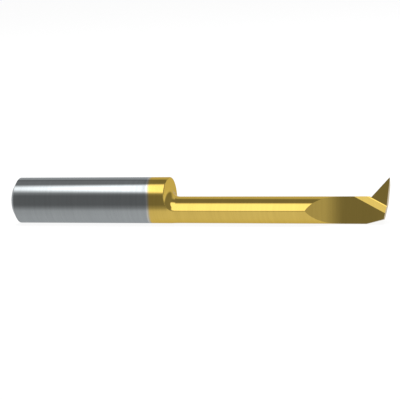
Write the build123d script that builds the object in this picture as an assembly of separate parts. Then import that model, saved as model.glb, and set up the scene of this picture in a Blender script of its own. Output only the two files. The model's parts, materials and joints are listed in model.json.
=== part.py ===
"""Miniature boring bar, ground from one solid carbide rod.

The rod stays full round at the shank. The neck is ground on a second axis below the
first, so the top steps down at a shoulder, while the underside keeps the shank's round
and is only relieved by a hair, clear of the shank's fit.
A flat is let into one side of the cutting end for the chips, with a ramp that runs out
of the neck. A shallow groove crosses the flat and sinks the rake face to the height of
the axis, and a pointed tooth stands above the neck with clearance ground behind both of
its edges.

The solid is built in its grinding position: X along the shank from the rear face to the
cutting end, Z towards the cutting point, and the rake face looking along -Y. It is then
turned about its axis to the way it lies on a table. Millimetres and degrees.
"""

import os
from math import atan2, cos, degrees, isclose, radians, sin, tan

from build123d import *

# Shank
overall_length = 50.0
shank_diameter = 6.0
shank_length = 21.35  # rear face to shoulder
rear_chamfer_length = 0.58
rear_chamfer_depth = 0.82

# Neck
neck_height = 3.45  # underside to crown
neck_relief = 0.03  # underside of the neck in from the shank, past a cone beside the blend
crown_radius = 2.8
shoulder_radius = 1.3  # blend from the shoulder into the crown
shoulder_edge_break = 0.1

# Chip flat
chip_flat_length = 6.9  # cutting end back to the corner of flat and ramp, before its blend
chip_flat_stock = 0.36  # left on the flat in front of the height of the axis
ramp_angle = 34.0
ramp_radius = 4.0

# Rake face and the groove that sinks it
groove_angle = 28.0
groove_wall_width = 0.87  # seen square on to the rake face
groove_foot_width = 0.11  # of the steeper foot that the edge of the wheel leaves on the wall
groove_foot_slope = 40.0  # of that foot, from the rake face
groove_radius = 0.03
rake_face_height = 3.61  # sharp corner of the point down to the groove's foot, along Z

# Tooth
point_height = 2.9  # sharp corner of the point above the axis, before its radius
nose_radius = 0.05
front_angle = 6.5  # front edge leaning back from square
lower_front_angle = 12.0  # the same below the groove's foot
trailing_angle = 47.0
front_relief = 6.5
trailing_relief = 8.0
trailing_undercut = 0.1  # how far the trailing clearance sinks into the crown

# Heel under the cutting end
heel_angle = 15.0
heel_length = 2.95

shank_radius = shank_diameter / 2
neck_radius = shank_radius - neck_relief
crown_height = neck_height - neck_radius
crown_axis_height = crown_height - crown_radius
reach = 2 * shank_diameter  # of a cutter past the rod


def rod():
    """Round rod over the full length, chamfered at the rear and relieved at the neck."""
    relief_start = shank_length + 2 * shoulder_edge_break
    half_section = make_face(
        Polyline(
            (0, 0),
            (0, shank_radius - rear_chamfer_depth),
            (rear_chamfer_length, shank_radius),
            (relief_start, shank_radius),
            (shank_length + shoulder_radius, neck_radius),
            (overall_length, neck_radius),
            (overall_length, 0),
            close=True,
        )
    )
    return revolve(half_section, Axis.X)


def front_edge_at(height):
    """Point of the front edge at a height above the axis, as (x, z)."""
    return overall_length - (point_height - height) * tan(radians(front_angle)), height


def trailing_edge_at(height):
    """Point of the trailing edge, or of its line run on, as (x, z)."""
    return overall_length - (point_height - height) / tan(radians(trailing_angle)), height


def relieved_prism(outline, edge_normal, relief):
    """Cutter over an (x, z) outline whose wall under an edge leans inwards, away from
    the rake face, by the relief angle."""
    lean = tan(radians(relief))
    direction = Vector(-edge_normal[0] * lean, 1, -edge_normal[1] * lean)
    face = Plane.XZ * make_face(Polyline(*outline, close=True))
    return extrude(face, amount=reach, dir=direction, both=True)


def behind_trailing_edge(outline):
    """Cutter over an outline that the trailing edge bounds, with that edge's relief."""
    angle = radians(trailing_angle)
    return relieved_prism(outline, (-sin(angle), cos(angle)), trailing_relief)


def neck_cut():
    """Ring ground away round the crown's axis, from the shoulder to the tooth."""
    half_section = make_face(
        Polyline(
            (shank_length, crown_radius),
            (shank_length, reach),
            (overall_length + reach, reach),
            (overall_length + reach, crown_radius),
            close=True,
        )
    )
    shoulder_foot = half_section.vertices().sort_by_distance((shank_length, crown_radius))[0]
    half_section = fillet(shoulder_foot, shoulder_radius)
    ring = revolve(half_section, Axis.X).moved(Location((0, 0, crown_axis_height)))
    shank_side = behind_trailing_edge(
        (trailing_edge_at(reach), trailing_edge_at(-reach), (0, -reach), (0, reach))
    )
    return ring & shank_side


def trailing_cut():
    """Clearance behind the trailing edge, with its foot sunk into the crown."""
    foot = trailing_edge_at(crown_height - trailing_undercut)
    run_out_x = foot[0] - 3 * trailing_undercut
    return behind_trailing_edge(
        (trailing_edge_at(reach), foot, (run_out_x, crown_height), (run_out_x, reach))
    )


def chip_flat_cut():
    """Flat beside the height of the axis, with a ramp that runs out of the neck."""
    corner = (overall_length - chip_flat_length, -chip_flat_stock)
    ramp_top = (corner[0] - (reach - chip_flat_stock) / tan(radians(ramp_angle)), -reach)
    end_x = overall_length + reach
    outline = make_face(
        Polyline(corner, ramp_top, (end_x, -reach), (end_x, corner[1]), close=True)
    )
    outline = fillet(outline.vertices().sort_by_distance(corner)[0], ramp_radius)
    return extrude(outline, amount=reach, both=True)


def groove_foot():
    """Point where the foot of the groove's wall meets the front edge, as (x, z)."""
    return front_edge_at(point_height - rake_face_height)


def groove_cut():
    """Groove wall and rake face. The wall slopes from the chip flat to the height of the
    axis, along a line that falls to the front edge, and steepens at its foot."""
    foot_x, foot_z = groove_foot()
    along = Vector(cos(radians(groove_angle)), 0, -sin(radians(groove_angle)))
    section = Plane(origin=(foot_x, 0, foot_z), x_dir=(0, -1, 0), z_dir=along)
    foot_top = Vector(groove_foot_width * tan(radians(groove_foot_slope)), groove_foot_width)
    wall_top = Vector(chip_flat_stock, groove_wall_width)
    past_top = wall_top + (wall_top - foot_top)
    outline = make_face(
        Polyline(
            (0, 0),
            foot_top,
            past_top,
            (reach, past_top.Y),
            (reach, -reach),
            (0, -reach),
            close=True,
        )
    )
    outline = fillet(outline.vertices().sort_by_distance((0, 0))[0], groove_radius)
    return extrude(section * outline, amount=reach, both=True)


def front_cut():
    """Front face, leaning back from square and more so below the groove's foot, with its
    clearance behind the front edge."""
    angle = radians(front_angle)
    foot_x, foot_z = groove_foot()
    end_x = overall_length + reach
    bottom_x = foot_x - (foot_z + reach) * tan(radians(lower_front_angle))
    outline = (
        front_edge_at(reach), (end_x, reach), (end_x, -reach), (bottom_x, -reach), groove_foot()
    )
    return relieved_prism(outline, (cos(angle), -sin(angle)), front_relief)


def heel_cut():
    """Slanted cut that lifts the underside clear of a curved bore near the front."""
    start_x = overall_length - heel_length
    rise = reach * tan(radians(heel_angle))
    outline = Polyline(
        (start_x - reach, -neck_radius - rise),
        (start_x + reach, -neck_radius + rise),
        (start_x + reach, -neck_radius - rise),
        close=True,
    )
    return extrude(Plane.XZ * make_face(outline), amount=reach, both=True)


def shoulder_rim(solid):
    """Outer edge of the shoulder's flat face."""
    flat_faces = solid.faces().filter_by(GeomType.PLANE)
    shoulder = flat_faces.filter_by(lambda face: isclose(face.center().X, shank_length))[0]
    return shoulder.edges().filter_by(lambda edge: isclose(edge.radius, shank_radius))


def nose(solid):
    """Corner where the front face and the trailing face meet, from the point back."""
    straight_edges = solid.edges().filter_by(GeomType.LINE)
    return straight_edges.sort_by(Axis.Z)[-1]


def boring_bar():
    """The bar in its grinding position."""
    solid = rod() - neck_cut()
    solid = fillet(shoulder_rim(solid), shoulder_edge_break)
    solid = solid - trailing_cut() - chip_flat_cut() - groove_cut() - front_cut() - heel_cut()
    return fillet(nose(solid), nose_radius)


def laid_down(solid):
    """Turn the bar about its axis until its centre of mass hangs straight below it, which
    is how the bar settles on its round underside."""
    centre = solid.center(CenterOf.MASS)
    return solid.rotate(Axis.X, -degrees(atan2(centre.Y, -centre.Z)))


os.makedirs("parts", exist_ok=True)
bar = laid_down(boring_bar())
export_step(bar, "parts/boring_bar.step")
print(f"boring_bar: {bar.volume:.1f} mm3, centre of mass {bar.center(CenterOf.MASS)}")
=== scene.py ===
# %% [markdown]
# # A coated boring bar in a studio
# A boring bar is a slim lathe tool that reaches into a hole and turns its wall. This one is
# ground from a single rod of cemented carbide, and its working half wears a thin gold coating.
#
# The shape is already done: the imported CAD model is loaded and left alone. What is missing is
# everything that makes it look real. For polished metal, that is mostly a question of what the
# metal has to reflect.

# %% Start from an empty file
import math

import bpy
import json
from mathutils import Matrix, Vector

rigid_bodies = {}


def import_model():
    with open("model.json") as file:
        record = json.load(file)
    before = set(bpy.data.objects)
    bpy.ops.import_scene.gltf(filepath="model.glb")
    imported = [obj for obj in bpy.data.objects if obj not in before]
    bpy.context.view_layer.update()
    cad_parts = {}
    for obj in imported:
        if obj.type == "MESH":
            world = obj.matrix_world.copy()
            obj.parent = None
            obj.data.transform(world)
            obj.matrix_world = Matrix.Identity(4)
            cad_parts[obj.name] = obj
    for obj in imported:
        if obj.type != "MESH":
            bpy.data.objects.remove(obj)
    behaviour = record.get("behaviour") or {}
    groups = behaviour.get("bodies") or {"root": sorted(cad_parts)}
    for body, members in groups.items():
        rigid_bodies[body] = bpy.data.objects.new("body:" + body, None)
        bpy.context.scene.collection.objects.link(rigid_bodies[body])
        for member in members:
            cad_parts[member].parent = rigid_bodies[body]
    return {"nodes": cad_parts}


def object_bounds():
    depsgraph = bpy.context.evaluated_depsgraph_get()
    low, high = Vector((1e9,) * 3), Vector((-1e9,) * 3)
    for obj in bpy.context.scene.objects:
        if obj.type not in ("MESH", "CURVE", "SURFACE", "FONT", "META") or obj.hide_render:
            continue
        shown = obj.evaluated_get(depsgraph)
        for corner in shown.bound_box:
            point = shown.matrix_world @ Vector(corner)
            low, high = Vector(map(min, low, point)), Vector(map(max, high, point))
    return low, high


bpy.ops.object.select_all(action="SELECT")
bpy.ops.object.delete()

# %% Load the bar
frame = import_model()
bar = frame["nodes"]["boring_bar"]
cad_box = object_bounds()

MM = 0.001
box_low, box_high = cad_box
print("bar in mm, lowest corner", [round(v / MM, 2) for v in box_low])
print("bar in mm, highest corner", [round(v / MM, 2) for v in box_high])

# %% [markdown]
# ## The camera
# A product picture of a slim tool is taken from far off with a long lens, so that both ends come
# out nearly the same size. The camera looks square on to the flat where the chips run, and so
# tilts by the few degrees at which the bar comes to rest, and it stands a little towards
# the cutting end, so that the step at the shoulder shows.
#
# The camera could be turned with three Euler angles. Here its right, up and backward directions
# are written as the columns of a matrix instead, because each of them can then be read in
# terms of the bar.

# %% Make the camera
from mathutils import Matrix, Vector

REST_ROLL = math.radians(8.975)  # of the chip flat, which looks up by this much
CAMERA_YAW = math.radians(16.905)  # towards the cutting end
CAMERA_DISTANCE = 205.635 * MM
SENSOR_WIDTH = 36  # mm, the full frame that the focal length is meant for
FOCAL_LENGTH = 143.874  # mm
AIM = Vector((25.342 * MM, 0, 0.017 * MM))  # a point on the axis, halfway along

up = Vector((0, math.sin(REST_ROLL), math.cos(REST_ROLL)))
flat_side = Vector((0, -math.cos(REST_ROLL), math.sin(REST_ROLL)))
backward = Vector((1, 0, 0)) * math.sin(CAMERA_YAW) + flat_side * math.cos(CAMERA_YAW)
right = up.cross(backward)

camera_data = bpy.data.cameras.new("product_camera")
camera_data.sensor_width = SENSOR_WIDTH
camera_data.lens = FOCAL_LENGTH
camera_data.clip_start = 10 * MM
camera = bpy.data.objects.new("product_camera", camera_data)
bpy.context.collection.objects.link(camera)
turn = Matrix((right, up, backward)).transposed()
camera.matrix_world = Matrix.Translation(AIM + backward * CAMERA_DISTANCE) @ turn.to_4x4()
bpy.context.scene.camera = camera
print("camera height above the axis in mm:", round(camera.location.z / MM, 1))

# %% [markdown]
# ## Small helpers for node trees
# Colours are written as the hex values that a paint program shows, which are in sRGB. Shaders
# add up light, so they need linear numbers, and one function turns the one into the other. A
# second one gives an even grey, for light that has no colour.
#
# The last one adds a node. Its settings come as a dictionary and so do its inputs: a plain
# value is set on the socket, and another node's output is linked to it.


# %% Colour and node helpers
def linear(hex_colour):
    """The linear RGBA of an sRGB hex colour such as "EDCC69"."""
    channels = [int(hex_colour[i : i + 2], 16) / 255 for i in (0, 2, 4)]
    return [c / 12.92 if c <= 0.04045 else ((c + 0.055) / 1.055) ** 2.4 for c in channels] + [1]


def grey(level):
    """A linear RGBA of even red, green and blue."""
    return [level, level, level, 1]


def add_node(tree, kind, settings=None, inputs=None):
    """Add a node of this kind, with its settings made and its inputs set or linked."""
    node = tree.nodes.new(kind)
    for name, value in (settings or {}).items():
        setattr(node, name, value)
    for name, value in (inputs or {}).items():
        if isinstance(value, bpy.types.NodeSocket):
            tree.links.new(value, node.inputs[name])
        else:
            node.inputs[name].default_value = value
    return node


print("middle grey as linear light:", round(linear("808080")[0], 3))

# %% [markdown]
# ## What the metal reflects
# Polished metal has no look of its own: each band of light and dark along the bar is the
# picture of something in the studio. The bands run along the bar, so what counts most is the
# angle round its axis at which a thing stands, from the camera's side over the top to the back.
#
# A studio would use a white table, dark cards before and behind the bar, and a soft box over
# it. Built as objects, they would stand in the way of other views. So they are painted on the
# world, each in the direction that it stands in. This step works out the measures that a
# direction is told by: how far right, back and up it points, and its angle round the bar.

# %% Measures of a direction
world = bpy.data.worlds.new("studio")
bpy.context.scene.world = world
world.use_nodes = True
studio = world.node_tree
studio.nodes.clear()

looking = add_node(studio, "ShaderNodeTexCoord")
direction = add_node(studio, "ShaderNodeSeparateXYZ", {}, {0: looking.outputs["Generated"]})
to_right, to_back, to_top = direction.outputs
to_front = add_node(studio, "ShaderNodeMath", {"operation": "MULTIPLY"}, {0: to_back, 1: -1.0})
angle = add_node(
    studio, "ShaderNodeMath", {"operation": "ARCTAN2"}, {0: to_top, 1: to_front.outputs[0]}
)
degrees_up = add_node(
    studio, "ShaderNodeMath", {"operation": "DEGREES"}, {0: angle.outputs[0]}
).outputs[0]
off_level = add_node(studio, "ShaderNodeMath", {"operation": "ABSOLUTE"}, {0: to_top}).outputs[0]
print("nodes that measure a direction:", len(studio.nodes))

# %% [markdown]
# ## The white table and the dark cards
# These reach from one end of the studio to the other, so the angle round the bar is all that
# they depend on. A colour ramp over that angle holds them all, and its eased steps make the
# soft edges that a band of light has on ground metal.

# %% Paint the table and the dark cards
BRIGHTEST = 2.5  # radiance that white on the ramp stands for
STUDIO_BANDS = [  # degrees up from the horizon on the camera's side, and radiance there
    (-180, 0.75),
    (-140, 0.66),
    (-90, 0.61),
    (-53, 0.55),
    (-13, 0.192),
    (28, 0.192),
    (50, 0.42),
    (85, 0.42),
    (103, 0.21),
    (128, 0.21),
    (141, 0.56),
    (180, 0.75),
]
turn_share = add_node(
    studio, "ShaderNodeMapRange", {}, {"Value": degrees_up, "From Min": -180.0, "From Max": 180.0}
)
bands = add_node(studio, "ShaderNodeValToRGB", {}, {0: turn_share.outputs[0]})
bands.color_ramp.interpolation = "EASE"
stops = bands.color_ramp.elements
while len(stops) < len(STUDIO_BANDS):
    stops.new(0.5)
for stop, (degrees, radiance) in zip(stops, STUDIO_BANDS):
    stop.position = degrees / 360 + 0.5
    stop.color = grey(radiance / BRIGHTEST)
painted = bands.outputs["Color"]
print("stops round the bar:", len(stops))

# %% [markdown]
# ## Cards with soft edges
# What hangs in only one part of the studio needs edges along the bar as well. A mask of its own
# for each card would repeat the same few nodes, so one function hangs a card before what is
# painted so far, from a list of its soft edges.
#
# The first cards brighten the table in front of the neck, where the light is nearest, and
# darken what stands behind the rear of the bar.


# %% Hang cards
def hang_card(behind, radiance, edges):
    """Paint a card of even radiance before what is painted so far.

    An edge is a measure of the direction, its value where the card has faded out and its
    value where the card is whole.
    """
    share = 1.0
    for measure, gone, whole in edges:
        fade = add_node(
            studio,
            "ShaderNodeMapRange",
            {"interpolation_type": "SMOOTHSTEP"},
            {"Value": measure, "From Min": gone, "From Max": whole},
        )
        both = add_node(
            studio, "ShaderNodeMath", {"operation": "MULTIPLY"}, {0: share, 1: fade.outputs[0]}
        )
        share = both.outputs[0]
    card = add_node(
        studio,
        "ShaderNodeMix",
        {"data_type": "RGBA"},
        {0: share, 6: behind, 7: grey(radiance / BRIGHTEST)},
    )
    return card.outputs[2]


near_table = [(to_right, -0.45, -0.25), (to_top, -0.5, -0.8)]
painted = hang_card(painted, 0.7, near_table)

rear_edge = (to_right, -0.3215, -0.3255)  # left of it lies what the bare shank reflects
behind_rear = [rear_edge, (to_top, 0.75, 0.8)]
painted = hang_card(painted, 0.3, behind_rear)
print("studio nodes after two cards:", len(studio.nodes))

# %% [markdown]
# ## The soft box
# The long highlight is a soft box over the bar. It is a long cushion of light with a rounded
# left end, so its glow depends on the distance from its middle line: degrees across it, and
# past the start of its left end also how far left. Its lamp stands over the bare rear of the
# bar, so there the box has a hot core, which turns the grey carbide white.

# %% Hang the soft box
BOX_ANGLE = 69.5  # degrees up to its middle line
BOX_HALF_ANGLE = 28.3
END_START = -0.165  # how far right the left end begins
END_LENGTH = 0.303
across = add_node(
    studio,
    "ShaderNodeMath",
    {"operation": "MULTIPLY_ADD"},
    {0: degrees_up, 1: 1 / BOX_HALF_ANGLE, 2: -BOX_ANGLE / BOX_HALF_ANGLE},
)
sideways = add_node(
    studio,
    "ShaderNodeMath",
    {"operation": "MULTIPLY_ADD"},
    {0: to_right, 1: 1 / END_LENGTH, 2: -END_START / END_LENGTH},
)
past_start = add_node(
    studio, "ShaderNodeMath", {"operation": "MINIMUM"}, {0: sideways.outputs[0], 1: 0.0}
)
offset = add_node(
    studio, "ShaderNodeCombineXYZ", {}, {"X": across.outputs[0], "Y": past_start.outputs[0]}
)
off_middle = add_node(
    studio, "ShaderNodeVectorMath", {"operation": "LENGTH"}, {0: offset.outputs[0]}
).outputs["Value"]
soft_box = [(off_middle, 1.2, 0.73)]
painted = hang_card(painted, 1.43, soft_box)
hot_core = [rear_edge, (off_middle, 0.95, 0.65)]
painted = hang_card(painted, 2.4, hot_core)
print("degrees of light over the bar:", round(2 * BOX_HALF_ANGLE))

# %% [markdown]
# ## The right side and the left end
# Faces that look along the bar see the ends of the studio: the step at the shoulder sees a dark
# card high on the right, and the ramp behind the chip flat sees a wall that grows lighter all
# the way to the right. The left wall is what the chamfer at the rear sees. A pale card far back
# on the right comes first, for the flat of the step and the front face of the tooth, and a veil
# before the low right corner of the soft box softens what the groove's wall sees of it.

# %% Hang the ends
far_back = [(to_right, -0.15, -0.08), (to_back, 0.4, 0.7)]
painted = hang_card(painted, 0.65, far_back)
veil = [(to_right, 0.0, 0.1), (degrees_up, 10.0, 30.0), (degrees_up, 62.0, 50.0)]
painted = hang_card(painted, 1.02, veil)
high_right = [(to_right, 0.04, 0.34), (to_top, 0.1, 0.3), (to_top, 0.94, 0.9)]
painted = hang_card(painted, 0.235, high_right)
right_wall = [(to_right, -0.28, 3.0), (off_level, 0.35, 0.15)]  # never whole, even at the end
painted = hang_card(painted, 1.1, right_wall)
left_wall = [(to_right, -0.5, -0.85)]
painted = hang_card(painted, 0.5, left_wall)
print("studio nodes with the ends:", len(studio.nodes))

# %% [markdown]
# ## White for the camera, the studio for the metal
# The background has to be plain white, but the painted studio is not. The Light Path node tells
# the two apart: a ray that comes straight from the camera, or through glass, meets white, and a
# ray that the metal has turned away meets the studio. White metal would be the price of showing
# that white to glossy rays too, so they alone keep the studio.

# %% Finish the world
studio_light = add_node(
    studio, "ShaderNodeBackground", {}, {"Color": painted, "Strength": BRIGHTEST}
)
white = add_node(studio, "ShaderNodeBackground", {}, {"Color": grey(1), "Strength": 1.0})
ray = add_node(studio, "ShaderNodeLightPath")
straight = add_node(
    studio,
    "ShaderNodeMath",
    {"operation": "MAXIMUM"},
    {0: ray.outputs["Is Camera Ray"], 1: ray.outputs["Is Transmission Ray"]},
)
backdrop = add_node(
    studio,
    "ShaderNodeMixShader",
    {},
    {0: straight.outputs[0], 1: studio_light.outputs[0], 2: white.outputs[0]},
)
add_node(studio, "ShaderNodeOutputWorld", {}, {0: backdrop.outputs[0]})
print("nodes in the studio:", len(studio.nodes))

# %% [markdown]
# ## Ground carbide, half of it coated
# The rod is cemented carbide, tungsten carbide grains in cobalt, ground with diamond wheels. To
# the eye it is a clean dark grey mirror, a little cooler than steel. The working half is coated
# with titanium nitride a few micrometres thick, deposited from a vapour, which gives a warm gold
# and copies every grinding mark under it.
#
# The coating could be a second material on its own faces, but it does not end at an edge of the
# shape: it fades out over a few tenths of a millimetre on the plain shank, along a line that the
# clamp in the coating chamber left slightly bowed. So it is one material, and a colour ramp over
# the distance from that line turns bare carbide into a pale band along the line and then into
# gold.

# %% Distance from the start of the coating
metal = bpy.data.materials.new("titanium_nitride_on_ground_carbide")
metal.use_nodes = True
skin = metal.node_tree
skin.nodes.clear()

COATING_START = 19.33 * MM  # from the rear of the bar, at the height of its axis
COATING_BOW = 0.045 / MM  # how fast the line bends towards the rear away from that height
place = add_node(skin, "ShaderNodeTexCoord").outputs["Object"]
axes = add_node(skin, "ShaderNodeSeparateXYZ", {}, {0: place})
height_squared = add_node(
    skin, "ShaderNodeMath", {"operation": "MULTIPLY"}, {0: axes.outputs["Z"], 1: axes.outputs["Z"]}
)
bowed = add_node(
    skin,
    "ShaderNodeMath",
    {"operation": "MULTIPLY_ADD"},
    {0: height_squared.outputs[0], 1: COATING_BOW, 2: axes.outputs["X"]},
)
past_line = add_node(
    skin, "ShaderNodeMath", {"operation": "SUBTRACT"}, {0: bowed.outputs[0], 1: COATING_START}
).outputs[0]
top_bow = COATING_BOW * box_high.z**2
print("mm that the line bends at the top of the shank:", round(top_bow / MM, 2))

# %% From bare carbide over a pale band to the gold
RIM = 0.5 * MM  # on either side of the line
COATING_EDGE = [  # mm from the line, and the colour there
    (-0.4, "B0B5B7"),
    (-0.24, "D6D4D2"),
    (-0.1, "CFC6A8"),
    (0.12, "EBCB6E"),
    (0.4, "EDCE6C"),
]
rim_share = add_node(
    skin, "ShaderNodeMapRange", {}, {"Value": past_line, "From Min": -RIM, "From Max": RIM}
)
rim = add_node(skin, "ShaderNodeValToRGB", {}, {0: rim_share.outputs[0]})
stops = rim.color_ramp.elements
while len(stops) < len(COATING_EDGE):
    stops.new(0.5)
for stop, (distance, hex_colour) in zip(stops, COATING_EDGE):
    stop.position = 0.5 + distance * MM / (2 * RIM)
    stop.color = linear(hex_colour)

HALF_FADE = 0.15 * MM
coated = add_node(
    skin,
    "ShaderNodeMapRange",
    {"interpolation_type": "SMOOTHSTEP"},
    {"Value": past_line, "From Min": -HALF_FADE, "From Max": HALF_FADE},
).outputs[0]
grazing_tint = add_node(
    skin,
    "ShaderNodeMix",
    {"data_type": "RGBA"},
    {0: coated, 6: linear("DFE1E3"), 7: linear("EFE0B4")},  # near the silhouette
)
print("colours from carbide to gold:", len(stops))

# %% [markdown]
# ## Grinding marks and the tone of the coating
# A grinding wheel leaves fine marks round the rod. Their real spacing is about 0.03 mm, a
# quarter of a pixel here, so they are drawn ten times as coarse. They come from one noise that is
# squeezed along the bar and stretched round it, and they change the tone by a few percent, the
# roughness a little and the height by half a micrometre.
#
# The coating also varies in thickness over several millimetres, as the bar turned in its holder
# in the chamber. A second, slow noise lets its gold drift a little warmer there.

# %% Draw the marks
MARK_SPACING = 0.3 * MM  # about 0.03 mm on the real bar
MARK_LENGTH = 6 * MM  # a mark fades out before it has gone round
stretched = add_node(
    skin,
    "ShaderNodeMapping",
    {},
    {"Vector": place, "Scale": (1 / MARK_SPACING, 1 / MARK_LENGTH, 1 / MARK_LENGTH)},
)
marks = add_node(
    skin,
    "ShaderNodeTexNoise",
    {},
    {"Vector": stretched.outputs[0], "Scale": 1.0, "Detail": 2.0, "Roughness": 0.6},
).outputs[0]
noise_range = {"Value": marks, "From Min": 0.3, "From Max": 0.7}  # what the noise mostly gives
mark_tone = add_node(
    skin, "ShaderNodeMapRange", {}, {**noise_range, "To Min": 0.96, "To Max": 1.03}
)
marked = add_node(
    skin,
    "ShaderNodeMix",
    {"data_type": "RGBA", "blend_type": "MULTIPLY"},
    {0: 1.0, 6: rim.outputs["Color"], 7: mark_tone.outputs[0]},
)
print("marks per mm:", round(MM / MARK_SPACING, 1))

# %% Draw the drift of tone
TONE_SIZE = 7 * MM
drift = add_node(
    skin, "ShaderNodeTexNoise", {}, {"Vector": place, "Scale": 1 / TONE_SIZE, "Detail": 1.0}
)
drift_share = add_node(
    skin, "ShaderNodeMath", {"operation": "MULTIPLY"}, {0: drift.outputs[0], 1: coated}
)
toned = add_node(
    skin,
    "ShaderNodeMix",
    {"data_type": "RGBA", "blend_type": "MULTIPLY"},
    {0: drift_share.outputs[0], 6: marked.outputs[2], 7: linear("FFFBF3")},
)
print("the gold drifts over", round(TONE_SIZE / MM), "mm")

# %% Finish the metal
MARK_HEIGHT = 0.0005 * MM
roughness = add_node(
    skin, "ShaderNodeMapRange", {}, {**noise_range, "To Min": 0.06, "To Max": 0.045}
)
relief = add_node(
    skin, "ShaderNodeBump", {}, {"Height": marks, "Strength": 1.0, "Distance": MARK_HEIGHT}
)
surface = add_node(
    skin,
    "ShaderNodeBsdfPrincipled",
    {},
    {
        "Metallic": 1.0,
        "Base Color": toned.outputs[2],
        "Roughness": roughness.outputs[0],
        "Specular Tint": grazing_tint.outputs[2],
        "Normal": relief.outputs[0],
    },
)
add_node(skin, "ShaderNodeOutputMaterial", {}, {0: surface.outputs[0]})
bar.material_slots[0].material = metal
print("nodes in the metal:", len(skin.nodes))

# %% [markdown]
# ## The floor and the lamp
# The bar lies on a white sheet, so the floor stands at the lowest point of its box. A backdrop
# this white would need far too much light if lamps alone had to make it. The paper glows for
# the camera instead and keeps a small share of plain paper, so that a soft shadow stays. The
# metal does not see the paper, because the table that it reflects is painted on the world.

# %% Lay the floor
FLOOR_WIDTH = 6  # metres, so that no view sees its edge
bpy.ops.mesh.primitive_plane_add(size=FLOOR_WIDTH, location=(0, 0, box_low.z))
floor = bpy.context.object
floor.name = "floor"
floor.visible_glossy = False

paper = bpy.data.materials.new("white_paper")
paper.use_nodes = True
sheet = paper.node_tree
sheet.nodes.clear()
GLOW_SHARE = 0.93  # of the paper that glows for the camera
pulp = add_node(sheet, "ShaderNodeBsdfDiffuse", {}, {"Color": linear("F9F9F9")})
glow = add_node(sheet, "ShaderNodeEmission", {}, {"Color": grey(1), "Strength": 1.0})
ray = add_node(sheet, "ShaderNodeLightPath")
glow_share = add_node(
    sheet,
    "ShaderNodeMath",
    {"operation": "MULTIPLY"},
    {0: ray.outputs["Is Camera Ray"], 1: GLOW_SHARE},
)
lit_paper = add_node(
    sheet,
    "ShaderNodeMixShader",
    {},
    {0: glow_share.outputs[0], 1: pulp.outputs[0], 2: glow.outputs[0]},
)
add_node(sheet, "ShaderNodeOutputMaterial", {}, {0: lit_paper.outputs[0]})
floor.data.materials.append(paper)
print("floor height in mm:", round(floor.location.z / MM, 2))

# %% Hang a soft lamp
lamp_data = bpy.data.lights.new("overhead", "AREA")
lamp_data.shape = "DISK"
lamp_data.size = 0.5  # metres across, which keeps the shadow soft
lamp_data.energy = 6.0  # watts
lamp = bpy.data.objects.new("overhead", lamp_data)
bpy.context.collection.objects.link(lamp)
lamp.location = (0.02, 0.05, 0.6)
lamp.visible_glossy = False
bpy.context.scene.view_settings.view_transform = "Standard"
print("lamp height in metres:", round(lamp.location.z, 2))

# %% [markdown]
# ## The end
# The box of the dressed bar has to be the box of the CAD model, since nothing was added to it.

# %% The end
import json
